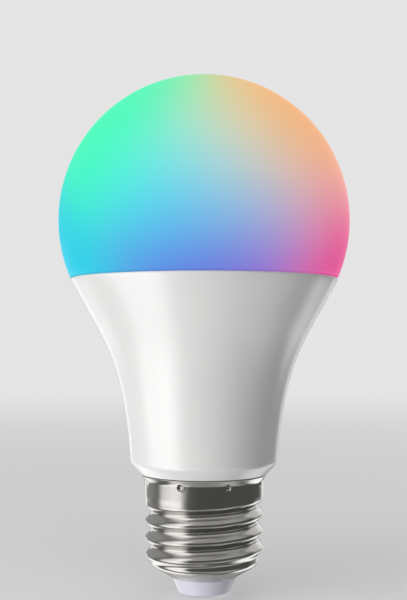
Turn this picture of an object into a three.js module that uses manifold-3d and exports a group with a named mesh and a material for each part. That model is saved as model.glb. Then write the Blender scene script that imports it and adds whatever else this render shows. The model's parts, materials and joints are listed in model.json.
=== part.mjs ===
// Smart light bulb with an E27 screw cap, an opal globe and a wireless RGB and white light engine.
// Millimetres, +Z up towards the globe. The origin is the centre of the contact button's bottom face.
import * as THREE from 'three';
import { mergeVertices } from 'three/addons/utils/BufferGeometryUtils.js';
import Module from 'manifold-3d';

const wasm = await Module();
wasm.setup();

// ---- Driving dimensions ----------------------------------------------------------------------
const SIDES = 36; // facets round the bulb's axis

// Screw cap, E27: standard thread on a thin metal shell
const CAP = {
  radius: 13.12, // plain band and thread crest
  root: 11.86, // thread root
  pitch: 3.629,
  wall: 0.3,
  openingRadius: 7.3,
  openingZ: 4.15,
  coneSlope: 1.7, // radius gained per millimetre of height
  coneEase: 1.2, // reach of the rounding between the cone and the thread
  coneTop: 5.8, // the cone is straight up to this height
  threadBottom: 6.5,
  bandBottom: 22.1,
  bandTurn: 1.7, // height over which the thread runs out into the band
  lipBottom: 25.0,
  lipTop: 26.25,
  lipRadius: 13.75,
};
const THREAD = { crestZ: 14.21, startTurn: -1.39, fadeIn: 0.39, endTurn: 1.5, fadeOut: 0.45 };
const CRIMP = { count: 8, z: 24.7, pitRadius: 0.8, pitCentre: 13.6, bumpRadius: 1.1 };

// Insulator and contact button under the cap
const INSULATOR = {
  bottomZ: 0.7,
  bottomRadius: 5.2,
  edge: 0.45,
  neckRadius: 7.1,
  neckZ: 4.0,
  underCone: 0.45, // how far above the cap's opening it starts to follow the cone
  flareHeight: 1.25,
  topZ: 6.4,
};
const CONTACT = {
  faceRadius: 2.0, // flat underside that the socket's spring touches
  headRadius: 3.2,
  headEdge: 0.5, // height of the rounding from the face out to the head
  headHeight: 1.0,
  shankRadius: 1.2,
  topZ: 7.4,
};
const FIT = 0.15; // clearance between the contact and the insulator

// Housing: a neck inside the cap, a chamfered shoulder, a waist and a flared cone up to the seam
const NECK = { bottomZ: 10, radius: 11.2, bore: 9.8, collar: 12.6, crimpGroove: 12.05 };
const SHOULDER = { z: 26.45, radius: 13.95, waistZ: 30.3, waistRadius: 16.3 };
const CHAMFER = [[15.25, 27.85], [15.85, 28.62], [16.17, 29.35]]; // rounding up into the waist
const CONE = { bottomZ: 57.6, bottomRadius: 23.26, slope: 0.556 };
const SEAM_Z = 69.24;
const HOUSING_WALL = 1.7; // measured level, so the wall is 1.5 thick across the cone
const CAVITY = { floorZ: 28.2, radius: 13.2 };
const RIM = { ledgeZ: 67.0, radius: 27.3, edge: 0.2 };

// Globe
const GLOBE = { radius: 32.13, centreZ: 82.0, wall: 1.2, bottomZ: 69.42 };
const SPIGOT = { outer: 27.0, inner: 25.9, bottomZ: 67.3, topZ: 69.9 };

// Light engine: aluminium cup, thermal pad and LED board stacked under the globe
const CUP = { gap: 0.2, wall: 1.0, bottomZ: 40, plateBottom: 64.5, plateTop: 65.7, plateRadius: 24.9 };
const PAD = { radius: 23.6, bottomZ: 65.72, thickness: 0.26 };
const BOARD = { radius: 24.6, bottomZ: 66.0, thickness: 1.0 };
const BOARD_TOP = BOARD.bottomZ + BOARD.thickness;
const SCREWS = {
  count: 3,
  ring: 21.5,
  headRadius: 2.2,
  headHeight: 1.5,
  headEdge: 0.6,
  slotLength: 2.4,
  slotWidth: 0.6,
  slotDepth: 0.8,
  shankRadius: 1.1,
  length: 3.8,
  threadedHole: 1.3,
  clearHole: 1.5,
};
const MODULE_SLOT = { x: 0, y: 7.75, width: 17.2, depth: 2.3 };
const LINK_SLOT = { x: 0, y: 2.8, width: 9.4, depth: 2.2 };
const WHITE_LEDS = { pairs: 6, ring: 18, length: 3.5, width: 2.8, height: 0.7, rim: 0.35 };
const COLOUR_LEDS = { count: 4, ring: 12.4, length: 5.0, width: 5.0, height: 1.5, rim: 0.7 };

// Driver board: upright, its parts' side at -Y and its chips' side at +Y
const DRIVER = { front: 2.0, thickness: 1.6, neckHalf: 8.4, bodyHalf: 12.4, bottomZ: 12, stepZ: 32, topZ: 60 };
const DRIVER_BACK = DRIVER.front + DRIVER.thickness;
const LEAD_RADIUS = 0.65;
const LEAD_Y = DRIVER_BACK + LEAD_RADIUS + 0.7; // the mains leads rise just behind the board

// ---- Materials -------------------------------------------------------------------------------
function material(color, roughness, metalness = 0) {
  return new THREE.MeshStandardMaterial({ color, roughness, metalness });
}

const MATERIALS = {
  opal: material('#d8e2ea', 0.45),
  whitePlastic: material('#e6e7ee', 0.4),
  nickel: material('#b9b5ae', 0.3, 1),
  porcelain: material('#cfd0e2', 0.35),
  brass: material('#c9b37a', 0.35, 1),
  aluminium: material('#c3c6c9', 0.45, 1),
  silicone: material('#dedfe0', 0.6),
  thermalGrey: material('#8d9297', 0.8),
  whiteMask: material('#f1f2ee', 0.5),
  steel: material('#9fa3a6', 0.35, 1),
  warmPhosphor: material('#e8b93a', 0.5),
  coolPhosphor: material('#f2e27a', 0.5),
  ledWhite: material('#f6f6f2', 0.4),
  greenMask: material('#1f6b3a', 0.45),
  blackSleeve: material('#23262b', 0.4),
  blueEpoxy: material('#2f5fa8', 0.4),
  yellowBox: material('#d9b62b', 0.45),
  ferrite: material('#3a3b3e', 0.7),
  copper: material('#b06a34', 0.35, 1),
  bobbinPlastic: material('#1c1d1f', 0.5),
  tape: material('#e3c545', 0.5),
  resistorGreen: material('#5f8f6a', 0.5),
  clearSleeve: material('#d9cfc0', 0.6),
  chipBlack: material('#191a1c', 0.55),
  blueMask: material('#20407c', 0.4),
  tinPlate: material('#c9ccd0', 0.3, 1),
  gold: material('#d9b25a', 0.3, 1),
  headerBlack: material('#202124', 0.5),
  redLead: material('#b23028', 0.45),
  blackLead: material('#26282c', 0.45),
};

// ---- Geometry helpers ------------------------------------------------------------------------

// Merges shared corners, drops collapsed triangles and turns the faces outward.
function solid(source) {
  const bare = source.clone();
  bare.deleteAttribute('normal');
  bare.deleteAttribute('uv');
  const merged = mergeVertices(bare, 1e-4);
  const index = merged.getIndex();
  const kept = [];
  for (let i = 0; i < index.count; i += 3) {
    const corners = [index.getX(i), index.getX(i + 1), index.getX(i + 2)];
    if (new Set(corners).size === 3) kept.push(...corners);
  }
  merged.setIndex(kept);
  if (signedVolume(merged) < 0) {
    for (let i = 0; i < kept.length; i += 3) [kept[i], kept[i + 1]] = [kept[i + 1], kept[i]];
    merged.setIndex(kept);
  }
  return merged;
}

function signedVolume(geometry) {
  const position = geometry.getAttribute('position');
  const index = geometry.getIndex();
  const [a, b, c] = [new THREE.Vector3(), new THREE.Vector3(), new THREE.Vector3()];
  let volume = 0;
  for (let i = 0; i < index.count; i += 3) {
    a.fromBufferAttribute(position, index.getX(i));
    b.fromBufferAttribute(position, index.getX(i + 1));
    c.fromBufferAttribute(position, index.getX(i + 2));
    volume += a.dot(b.cross(c)) / 6;
  }
  return volume;
}

function toManifold(geometry) {
  const closed = solid(geometry);
  return new wasm.Manifold(
    new wasm.Mesh({
      numProp: 3,
      vertProperties: new Float32Array(closed.getAttribute('position').array),
      triVerts: new Uint32Array(closed.getIndex().array),
    }),
  );
}

function fromManifold(made) {
  const mesh = made.getMesh();
  const geometry = new THREE.BufferGeometry();
  geometry.setAttribute('position', new THREE.BufferAttribute(mesh.vertProperties, 3));
  geometry.setIndex(new THREE.BufferAttribute(mesh.triVerts, 1));
  return geometry;
}

// Joins the geometries in `add`, then cuts away those in `cut`.
function combine(add, cut = []) {
  let made = toManifold(add[0]);
  for (const other of add.slice(1)) made = made.add(toManifold(other));
  for (const tool of cut) made = made.subtract(toManifold(tool));
  return fromManifold(made);
}

// A profile of [radius, height] points turned about Z.
function turned(profile, sides = SIDES) {
  const points = profile.map(([radius, z]) => new THREE.Vector2(Math.max(radius, 0), z));
  const closed = points[0].x > 0 ? [...points, points[0].clone()] : points;
  return new THREE.LatheGeometry(closed, sides, Math.PI / 2).rotateX(Math.PI / 2);
}

// Points on an arc about (cr, cz), angles in degrees from the radial direction.
function arc(cr, cz, radius, from, to, steps) {
  return Array.from({ length: steps + 1 }, (_, i) => {
    const angle = THREE.MathUtils.degToRad(from + ((to - from) * i) / steps);
    return [cr + radius * Math.cos(angle), cz + radius * Math.sin(angle)];
  });
}

function box(width, depth, height, x = 0, y = 0, z = 0) {
  return new THREE.BoxGeometry(width, depth, height).translate(x, y, z);
}

// An upright cylinder standing on z.
function rod(radius, height, x = 0, y = 0, z = 0, sides = 16) {
  return new THREE.CylinderGeometry(radius, radius, height, sides)
    .rotateX(Math.PI / 2)
    .translate(x, y, z + height / 2);
}

// A flat outline in X and Y raised from z by a thickness.
function raised(shape, thickness, z = 0, curveSegments = 6) {
  const options = { depth: thickness, bevelEnabled: false, curveSegments };
  return new THREE.ExtrudeGeometry(shape, options).translate(0, 0, z);
}

function roundedRectangle(width, height, radius) {
  const [w, h] = [width / 2, height / 2];
  const shape = new THREE.Shape();
  shape.moveTo(-w + radius, -h);
  shape.lineTo(w - radius, -h);
  shape.absarc(w - radius, -h + radius, radius, -Math.PI / 2, 0);
  shape.lineTo(w, h - radius);
  shape.absarc(w - radius, h - radius, radius, 0, Math.PI / 2);
  shape.lineTo(-w + radius, h);
  shape.absarc(-w + radius, h - radius, radius, Math.PI / 2, Math.PI);
  shape.lineTo(-w, -h + radius);
  shape.absarc(-w + radius, -h + radius, radius, Math.PI, Math.PI * 1.5);
  return shape;
}

// A round lead through hand-set points.
function lead(points) {
  const path = new THREE.CatmullRomCurve3(points.map((p) => new THREE.Vector3(...p)));
  const section = new THREE.Shape();
  section.absarc(0, 0, LEAD_RADIUS, 0, Math.PI * 2);
  return new THREE.ExtrudeGeometry(section, { steps: 12, curveSegments: 4, extrudePath: path });
}

function onRing(radius, degrees) {
  const angle = THREE.MathUtils.degToRad(degrees);
  return [radius * Math.cos(angle), radius * Math.sin(angle), angle];
}

// ---- The assembly ----------------------------------------------------------------------------
const bulb = new THREE.Group();

function place(name, geometry, finish, position = [0, 0, 0], turn = 0) {
  const mesh = new THREE.Mesh(solid(geometry), finish);
  mesh.name = name;
  mesh.position.set(...position);
  mesh.rotation.z = turn;
  bulb.add(mesh);
  return mesh;
}

// ---- Globe -----------------------------------------------------------------------------------
function globe() {
  const inner = GLOBE.radius - GLOBE.wall;
  const angleAt = (radius, z) => THREE.MathUtils.radToDeg(Math.asin((z - GLOBE.centreZ) / radius));
  const below = arc(0, GLOBE.centreZ, GLOBE.radius, angleAt(GLOBE.radius, GLOBE.bottomZ), 0, 3);
  const above = arc(0, GLOBE.centreZ, GLOBE.radius, 0, 90, 9);
  const inside = arc(0, GLOBE.centreZ, inner, 90, angleAt(inner, SPIGOT.topZ + 0.8), 10);
  return turned([
    ...below.slice(0, -1),
    ...above.slice(0, -1),
    [0, GLOBE.centreZ + GLOBE.radius],
    [0, GLOBE.centreZ + inner],
    ...inside.slice(1),
    [SPIGOT.inner, SPIGOT.topZ],
    [SPIGOT.inner, SPIGOT.bottomZ],
    [SPIGOT.outer, SPIGOT.bottomZ],
    [SPIGOT.outer, GLOBE.bottomZ],
  ]);
}

place('diffuser_dome', globe(), MATERIALS.opal);

const sealantRing = [
  [SPIGOT.outer - 0.9, RIM.ledgeZ],
  [SPIGOT.outer + 0.1, RIM.ledgeZ],
  [SPIGOT.outer + 0.1, SPIGOT.bottomZ - 0.05],
  [SPIGOT.outer - 0.9, SPIGOT.bottomZ - 0.05],
];
place('dome_sealant', turned(sealantRing), MATERIALS.silicone);

// ---- Housing ---------------------------------------------------------------------------------
const coneRadius = (z) => CONE.bottomRadius + CONE.slope * (z - CONE.bottomZ);

// The flare from the waist to the cone, tangent to both.
const flare = new THREE.CubicBezierCurve(
  new THREE.Vector2(SHOULDER.waistRadius, SHOULDER.waistZ),
  new THREE.Vector2(SHOULDER.waistRadius + 1.16, SHOULDER.waistZ + 14.5),
  new THREE.Vector2(CONE.bottomRadius - 6 * CONE.slope, CONE.bottomZ - 6),
  new THREE.Vector2(CONE.bottomRadius, CONE.bottomZ),
);

// Points of the flare from the height `fromZ` up, moved inward by `inset`.
function flarePoints(inset, steps, fromZ = SHOULDER.waistZ) {
  const all = flare.getPoints(steps).map((p) => [p.x - inset, p.y]);
  const above = all.filter(([, z]) => z > fromZ + 0.5);
  const next = above[0];
  const before = all[all.indexOf(next) - 1] ?? next;
  const share = next === before ? 0 : (fromZ - before[1]) / (next[1] - before[1]);
  return [[before[0] + (next[0] - before[0]) * share, fromZ], ...above];
}

function housing() {
  return turned([
    [NECK.bore, NECK.bottomZ],
    [NECK.radius, NECK.bottomZ],
    [NECK.radius, CAP.bandBottom - CAP.bandTurn],
    [NECK.collar, CAP.bandBottom],
    [NECK.collar, CRIMP.z - 1.0],
    [NECK.crimpGroove, CRIMP.z - 0.8],
    [NECK.crimpGroove, CRIMP.z + 0.8],
    [NECK.collar, CRIMP.z + 1.0],
    [NECK.collar, SHOULDER.z],
    [SHOULDER.radius, SHOULDER.z],
    ...CHAMFER,
    ...flarePoints(0, 8),
    [coneRadius(SEAM_Z - RIM.edge), SEAM_Z - RIM.edge],
    [coneRadius(SEAM_Z) - RIM.edge, SEAM_Z],
    [RIM.radius, SEAM_Z],
    [RIM.radius, RIM.ledgeZ],
    [coneRadius(RIM.ledgeZ) - HOUSING_WALL, RIM.ledgeZ],
    ...flarePoints(HOUSING_WALL, 6).reverse(),
    [CAVITY.radius, CAVITY.floorZ],
    [NECK.bore, CAVITY.floorZ],
  ]);
}

place('housing_shell', housing(), MATERIALS.whitePlastic);

// ---- Screw cap -------------------------------------------------------------------------------

// Height of the right-handed thread's profile, 0 at the root and 1 at the crest. The crest fades in
// at the lower end, and the last valley fills up where the thread runs out into the plain band.
function threadHeight(angle, z) {
  const turn = angle / (Math.PI * 2);
  const along = (z - THREAD.crestZ) / CAP.pitch;
  const fade = (value) => THREE.MathUtils.smoothstep(value, 0, 1);
  const wave = 0.5 + 0.5 * Math.cos((along - turn) * Math.PI * 2);
  const crest = turn + Math.round(along - turn);
  const valley = turn + Math.floor(along - turn) + 0.5;
  const shown = fade((crest - THREAD.startTurn) / THREAD.fadeIn + 1);
  const filled = fade((valley - THREAD.endTurn) / THREAD.fadeOut);
  return wave * shown * (1 - filled) + filled;
}

const coneAt = (z) => CAP.openingRadius + CAP.coneSlope * (z - CAP.openingZ);

// The thread, rounded into the cone below it and into the plain band above it.
function shellRadius(angle, z) {
  const thread = CAP.root + (CAP.radius - 0.1 - CAP.root) * threadHeight(angle, z);
  const share = THREE.MathUtils.clamp(0.5 + (thread - coneAt(z)) / (2 * CAP.coneEase), 0, 1);
  const rounding = CAP.coneEase * share * (1 - share);
  const eased = THREE.MathUtils.lerp(thread, coneAt(z), share) - rounding;
  const intoBand = THREE.MathUtils.smoothstep(z, CAP.bandBottom - CAP.bandTurn, CAP.bandBottom);
  return THREE.MathUtils.lerp(eased, CAP.radius, intoBand);
}

// Rings from the bottom opening up the outside, over the lip and back down the inside.
function screwShell() {
  const threadZ = [];
  const steps = Math.round((CAP.bandBottom - CAP.threadBottom) / (CAP.pitch / 5));
  for (let i = 0; i <= steps; i += 1) {
    threadZ.push(THREE.MathUtils.lerp(CAP.threadBottom, CAP.bandBottom, i / steps));
  }
  const outer = [
    [CAP.openingRadius, CAP.openingZ],
    [coneAt(CAP.coneTop), CAP.coneTop],
    ...threadZ.map((z) => [null, z]),
    [CAP.radius, CAP.lipBottom],
    [CAP.lipRadius - 0.1, CAP.lipTop - 0.3],
    [CAP.lipRadius, CAP.lipTop],
  ];
  const inner = [
    [CAP.lipRadius - CAP.wall, CAP.lipTop],
    [CAP.radius - CAP.wall + 0.05, CAP.lipBottom + 0.1],
    ...threadZ.map((z) => [null, z]).reverse(),
    [coneAt(CAP.coneTop) - CAP.wall, CAP.coneTop + CAP.wall / 2],
    [CAP.openingRadius, CAP.openingZ + 0.35],
  ];
  const rings = [
    ...outer.map(([r, z]) => (angle) => [r ?? shellRadius(angle, z), z]),
    ...inner.map(([r, z]) => (angle) => [r ?? shellRadius(angle, z) - CAP.wall, z]),
  ];
  const positions = [];
  for (const ring of rings) {
    for (let side = 0; side < SIDES; side += 1) {
      const angle = (side / SIDES) * Math.PI * 2;
      const [radius, z] = ring(angle);
      positions.push(radius * Math.cos(angle), radius * Math.sin(angle), z);
    }
  }
  const index = [];
  rings.forEach((_, ring) => {
    const next = (ring + 1) % rings.length;
    for (let side = 0; side < SIDES; side += 1) {
      const across = (side + 1) % SIDES;
      const [a, b] = [ring * SIDES + side, ring * SIDES + across];
      const [c, d] = [next * SIDES + across, next * SIDES + side];
      index.push(a, b, c, a, c, d);
    }
  });
  const geometry = new THREE.BufferGeometry();
  geometry.setAttribute('position', new THREE.Float32BufferAttribute(positions, 3));
  geometry.setIndex(index);
  return geometry;
}

// Crimps: pits pressed through the plain band into the neck's groove, each a dent with a bump behind.
function crimpedShell() {
  let shell = toManifold(screwShell());
  const inside = toManifold(rod(CAP.radius - CAP.wall / 2, 4, 0, 0, CRIMP.z - 2, SIDES));
  for (let i = 0; i < CRIMP.count; i += 1) {
    const [x, y] = onRing(CRIMP.pitCentre, ((i + 0.5) * 360) / CRIMP.count);
    const dent = (radius) => toManifold(new THREE.SphereGeometry(radius, 8, 6).translate(x, y, CRIMP.z));
    shell = shell.add(dent(CRIMP.bumpRadius).intersect(inside)).subtract(dent(CRIMP.pitRadius));
  }
  return fromManifold(shell);
}

place('screw_shell', crimpedShell(), MATERIALS.nickel);

const insulatorFlareZ = CAP.openingZ + INSULATOR.underCone;
const insulatorTopRadius = INSULATOR.neckRadius + CAP.coneSlope * INSULATOR.flareHeight;
const insulatorProfile = [
  [CONTACT.shankRadius + FIT, CONTACT.headHeight + FIT],
  [CONTACT.headRadius + FIT, CONTACT.headHeight + FIT],
  [CONTACT.headRadius + FIT, INSULATOR.bottomZ],
  [INSULATOR.bottomRadius, INSULATOR.bottomZ],
  ...arc(INSULATOR.bottomRadius, INSULATOR.bottomZ + INSULATOR.edge, INSULATOR.edge, -45, 0, 2),
  [INSULATOR.neckRadius, INSULATOR.neckZ],
  [INSULATOR.neckRadius, insulatorFlareZ],
  [insulatorTopRadius, insulatorFlareZ + INSULATOR.flareHeight],
  [insulatorTopRadius, INSULATOR.topZ],
  [CONTACT.shankRadius + FIT, INSULATOR.topZ],
];
place('cap_insulator', turned(insulatorProfile), MATERIALS.porcelain);

const contactProfile = [
  [0, 0],
  [CONTACT.faceRadius, 0],
  [THREE.MathUtils.lerp(CONTACT.faceRadius, CONTACT.headRadius, 0.62), CONTACT.headEdge * 0.3],
  [CONTACT.headRadius, CONTACT.headEdge],
  [CONTACT.headRadius, CONTACT.headHeight],
  [CONTACT.shankRadius, CONTACT.headHeight],
  [CONTACT.shankRadius, CONTACT.topZ],
  [0, CONTACT.topZ],
];
place('centre_contact', turned(contactProfile), MATERIALS.brass);

// ---- Light engine stack ----------------------------------------------------------------------
const screwSpots = Array.from({ length: SCREWS.count }, (_, i) => onRing(SCREWS.ring, 90 + i * 120));

// Tools that open the module slot, the link slot and the screw holes through a level plate.
function plateOpenings(bottomZ, thickness, holeRadius) {
  const [height, z] = [thickness + 1, bottomZ + thickness / 2];
  return [
    box(MODULE_SLOT.width, MODULE_SLOT.depth, height, MODULE_SLOT.x, MODULE_SLOT.y, z),
    box(LINK_SLOT.width, LINK_SLOT.depth, height, LINK_SLOT.x, LINK_SLOT.y, z),
    ...screwSpots.map(([x, y]) => rod(holeRadius, height, x, y, z - height / 2, 12)),
  ];
}

function heatSinkCup() {
  const skirt = HOUSING_WALL + CUP.gap;
  const shell = turned([
    ...flarePoints(skirt, 6, CUP.bottomZ),
    [CUP.plateRadius, CUP.plateBottom],
    [CUP.plateRadius, CUP.plateTop],
    [0, CUP.plateTop],
    [0, CUP.plateBottom],
    [CUP.plateRadius - CUP.wall - 0.5, CUP.plateBottom],
    ...flarePoints(skirt + CUP.wall, 6, CUP.bottomZ).reverse(),
  ]);
  const thickness = CUP.plateTop - CUP.plateBottom;
  return combine([shell], plateOpenings(CUP.plateBottom, thickness, SCREWS.threadedHole));
}

place('heat_sink_cup', heatSinkCup(), MATERIALS.aluminium);

const pad = combine([rod(PAD.radius, PAD.thickness, 0, 0, PAD.bottomZ, SIDES)],
  plateOpenings(PAD.bottomZ, PAD.thickness, SCREWS.clearHole));
place('thermal_pad', pad, MATERIALS.thermalGrey);

const ledBoard = combine([rod(BOARD.radius, BOARD.thickness, 0, 0, BOARD.bottomZ, SIDES)],
  plateOpenings(BOARD.bottomZ, BOARD.thickness, SCREWS.clearHole));
place('led_board', ledBoard, MATERIALS.whiteMask);

// Pan head with a cross recess, on a plain shank that reaches through the cup's plate.
function boardScrew() {
  const top = BOARD_TOP + SCREWS.headHeight;
  const head = turned([
    [0, BOARD_TOP],
    [SCREWS.headRadius, BOARD_TOP],
    [SCREWS.headRadius, top - SCREWS.headEdge],
    [SCREWS.headRadius - SCREWS.headEdge, top],
    [0, top],
  ], 16);
  const shank = rod(SCREWS.shankRadius, SCREWS.length, 0, 0, BOARD_TOP - SCREWS.length + 0.2, 12);
  const { slotLength, slotWidth, slotDepth } = SCREWS;
  const slots = [
    box(slotLength, slotWidth, slotDepth * 2, 0, 0, top),
    box(slotWidth, slotLength, slotDepth * 2, 0, 0, top),
  ];
  return combine([head, shank], slots);
}

screwSpots.forEach(([x, y, angle], i) => {
  place(`led_board_screw_${i + 1}`, boardScrew(), MATERIALS.steel, [x, y, 0], angle);
});

// A surface-mount LED: a moulded frame, twice `rim` across both its sides, round a shallow window.
function ledPackage({ length, width, height, rim }) {
  const body = raised(roundedRectangle(length, width, 0.15), height, 0, 1);
  return combine([body], [box(length - 2 * rim, width - 2 * rim, 0.3, 0, 0, height)]);
}

for (let i = 0; i < WHITE_LEDS.pairs * 2; i += 1) {
  const tone = i % 2 === 0 ? 'warm_white' : 'cool_white';
  const [x, y, angle] = onRing(WHITE_LEDS.ring, 15 + i * 30);
  const finish = i % 2 === 0 ? MATERIALS.warmPhosphor : MATERIALS.coolPhosphor;
  const name = `${tone}_led_${Math.floor(i / 2) + 1}`;
  place(name, ledPackage(WHITE_LEDS), finish, [x, y, BOARD_TOP], angle);
}

for (let i = 0; i < COLOUR_LEDS.count; i += 1) {
  const [x, y, angle] = onRing(COLOUR_LEDS.ring, i * 90);
  place(`rgb_led_${i + 1}`, ledPackage(COLOUR_LEDS), MATERIALS.ledWhite, [x, y, BOARD_TOP], angle);
}

// ---- Driver board and its parts --------------------------------------------------------------

const BULK_CAPACITOR = { radius: 5.0, height: 16, at: [0, -3.4, 13.5] };
const OUTPUT_CAPACITOR = { radius: 3.1, height: 11, at: [9.9, -1.6, 47.2] };
const CAN = { edge: 0.35, grooveZ: 1.8, grooveHalf: 0.4, grooveDepth: 0.4 };
const FILM_CAPACITOR = { length: 10, depth: 5, height: 9, leadSpacing: 7.5, at: [-7, -0.8, 34] };
const VARISTOR = { radius: 3.5, thickness: 3.4, leadSpacing: 4, at: [10.6, -1.9, 38.5] };
const RESISTOR = {
  wireRadius: 0.3,
  wireLength: 1.5,
  endRadius: 1.45,
  endLength: 2,
  waistRadius: 1.25,
  length: 9,
  at: [3.4, 6.0, 18],
};
const SLEEVE = { bore: 1.65, radius: 2.0, overhang: 0.6 };
const CHOKE = { flangeRadius: 4, flange: 1.2, legRadius: 1.9, height: 7.4, at: [4.1, 1.8, 38.5] };
const WINDING = { bore: 2.1, radius: 3.7, gap: 0.2 };
const CHIP = { standOff: 0.15, leadReach: 1, leadWidth: 0.4, leadThickness: 0.25 };
const LEAD = { radius: 0.3, length: 1.5, below: 1.2 }; // component legs, soldered off under the body

// T-shaped outline in X and Z, stood upright with its thickness along +Y from DRIVER.front.
function driverBoard() {
  const outline = new THREE.Shape([
    [-DRIVER.neckHalf, DRIVER.bottomZ],
    [DRIVER.neckHalf, DRIVER.bottomZ],
    [DRIVER.neckHalf, DRIVER.stepZ - 2],
    [DRIVER.bodyHalf, DRIVER.stepZ + 1],
    [DRIVER.bodyHalf, DRIVER.topZ],
    [-DRIVER.bodyHalf, DRIVER.topZ],
    [-DRIVER.bodyHalf, DRIVER.stepZ + 1],
    [-DRIVER.neckHalf, DRIVER.stepZ - 2],
  ].map(([x, z]) => new THREE.Vector2(x, z)));
  return raised(outline, DRIVER.thickness)
    .rotateX(Math.PI / 2)
    .translate(0, DRIVER_BACK, 0);
}

place('driver_board', driverBoard(), MATERIALS.greenMask);

const leadPair = (spacing) =>
  [-0.5, 0.5].map((side) => rod(LEAD.radius, LEAD.length, side * spacing, 0, -LEAD.below, 8));

// A radial can with a rolled groove and two leads at its foot.
function electrolytic({ radius, height }) {
  const can = turned([
    [0, 0],
    [radius - CAN.edge, 0],
    [radius, CAN.edge],
    [radius, CAN.grooveZ - CAN.grooveHalf],
    [radius - CAN.grooveDepth, CAN.grooveZ],
    [radius, CAN.grooveZ + CAN.grooveHalf],
    [radius, height - CAN.edge],
    [radius - CAN.edge, height],
    [0, height],
  ], 20);
  return combine([can, ...leadPair(radius)]);
}

place('bulk_capacitor', electrolytic(BULK_CAPACITOR), MATERIALS.blackSleeve, BULK_CAPACITOR.at);
place('output_capacitor', electrolytic(OUTPUT_CAPACITOR), MATERIALS.blackSleeve, OUTPUT_CAPACITOR.at);

function filmCapacitor({ length, depth, height, leadSpacing }) {
  const body = raised(roundedRectangle(length, depth, 0.4), height, 0, 1);
  return combine([body, ...leadPair(leadSpacing)]);
}

place('film_capacitor', filmCapacitor(FILM_CAPACITOR), MATERIALS.yellowBox, FILM_CAPACITOR.at);

// Disc standing on edge, with its two leads below.
function discVaristor({ radius, thickness, leadSpacing }) {
  const disc = rod(radius, thickness, 0, 0, -thickness / 2, 20).rotateY(Math.PI / 2);
  const leads = [-0.5, 0.5].map((side) => rod(0.35, 3.0, 0, side * leadSpacing, -5.2, 8));
  return combine([disc, ...leads]);
}

place('varistor', discVaristor(VARISTOR), MATERIALS.blueEpoxy, VARISTOR.at);

// Axial resistor, waisted between its end caps, inside a heat-shrink sleeve.
function axialResistor({ wireRadius, wireLength, endRadius, endLength, waistRadius, length }) {
  return turned([
    [0, -wireLength],
    [wireRadius, -wireLength],
    [wireRadius, 0],
    [endRadius, 0],
    [endRadius, endLength],
    [waistRadius, endLength + 0.4],
    [waistRadius, length - endLength - 0.4],
    [endRadius, length - endLength],
    [endRadius, length],
    [wireRadius, length],
    [wireRadius, length + wireLength],
    [0, length + wireLength],
  ], 16);
}

place('fusible_resistor', axialResistor(RESISTOR), MATERIALS.resistorGreen, RESISTOR.at);
const sleeve = turned([
  [SLEEVE.bore, -SLEEVE.overhang],
  [SLEEVE.radius, -SLEEVE.overhang],
  [SLEEVE.radius, RESISTOR.length + SLEEVE.overhang],
  [SLEEVE.bore, RESISTOR.length + SLEEVE.overhang],
], 16);
place('resistor_sleeve', sleeve, MATERIALS.clearSleeve, RESISTOR.at);

// Drum-core choke with its axis towards the board.
const drum = turned([
  [0, 0],
  [CHOKE.flangeRadius, 0],
  [CHOKE.flangeRadius, CHOKE.flange],
  [CHOKE.legRadius, CHOKE.flange],
  [CHOKE.legRadius, CHOKE.height - CHOKE.flange],
  [CHOKE.flangeRadius, CHOKE.height - CHOKE.flange],
  [CHOKE.flangeRadius, CHOKE.height],
  [0, CHOKE.height],
], 20);
const windingEnds = [CHOKE.flange + WINDING.gap, CHOKE.height - CHOKE.flange - WINDING.gap];
const chokeWinding = turned([
  [WINDING.bore, windingEnds[0]],
  [WINDING.radius, windingEnds[0]],
  [WINDING.radius, windingEnds[1]],
  [WINDING.bore, windingEnds[1]],
], 20);
place('emi_choke_core', drum.rotateX(Math.PI / 2), MATERIALS.ferrite, CHOKE.at);
place('emi_choke_winding', chokeWinding.rotateX(Math.PI / 2), MATERIALS.copper, CHOKE.at);

// Transformer: a closed E core, a flanged bobbin on its middle leg and the taped windings.
const TRANSFORMER = { width: 13, height: 12, depth: 6, leg: 3.2, limb: 1.6, yoke: 1.7, at: [-4.8, -3.9, 52] };
const BOBBIN = { barrelWall: 0.5, play: 0.2, height: 8.2, flange: 0.6, flangeWidth: 9.4, flangeReach: 2.4 };
const TAPE = { width: 9.0, reach: 2.2, corner: 1.6, height: 6.6, clearance: 0.85 };

function transformerCore() {
  const { width, height, depth, leg, limb, yoke } = TRANSFORMER;
  const windowWidth = (width - leg) / 2 - limb;
  const windows = [-1, 1].map((side) =>
    box(windowWidth, depth + 1, height - 2 * yoke, (side * (leg + windowWidth)) / 2, 0, 0));
  return combine([box(width, depth, height)], windows);
}

function transformerBobbin() {
  const { leg, depth } = TRANSFORMER;
  const { barrelWall, play, height, flange, flangeWidth, flangeReach } = BOBBIN;
  const around = 2 * (barrelWall + play);
  const barrel = box(leg + around, depth + around, height);
  const flanges = [-0.5, 0.5].map((side) =>
    box(flangeWidth, depth + 2 * flangeReach, flange, 0, 0, side * (height - flange)));
  return combine([barrel, ...flanges], [box(leg + 2 * play, depth + 2 * play, height + 2)]);
}

function transformerWinding() {
  const { leg, depth } = TRANSFORMER;
  const outline = roundedRectangle(TAPE.width, depth + 2 * TAPE.reach, TAPE.corner);
  const outer = raised(outline, TAPE.height, -TAPE.height / 2, 3);
  const around = 2 * TAPE.clearance;
  return combine([outer], [box(leg + around, depth + around, TAPE.height + 2)]);
}

place('transformer_core', transformerCore(), MATERIALS.ferrite, TRANSFORMER.at);
place('transformer_bobbin', transformerBobbin(), MATERIALS.bobbinPlastic, TRANSFORMER.at);
place('transformer_winding', transformerWinding(), MATERIALS.tape, TRANSFORMER.at);

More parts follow.
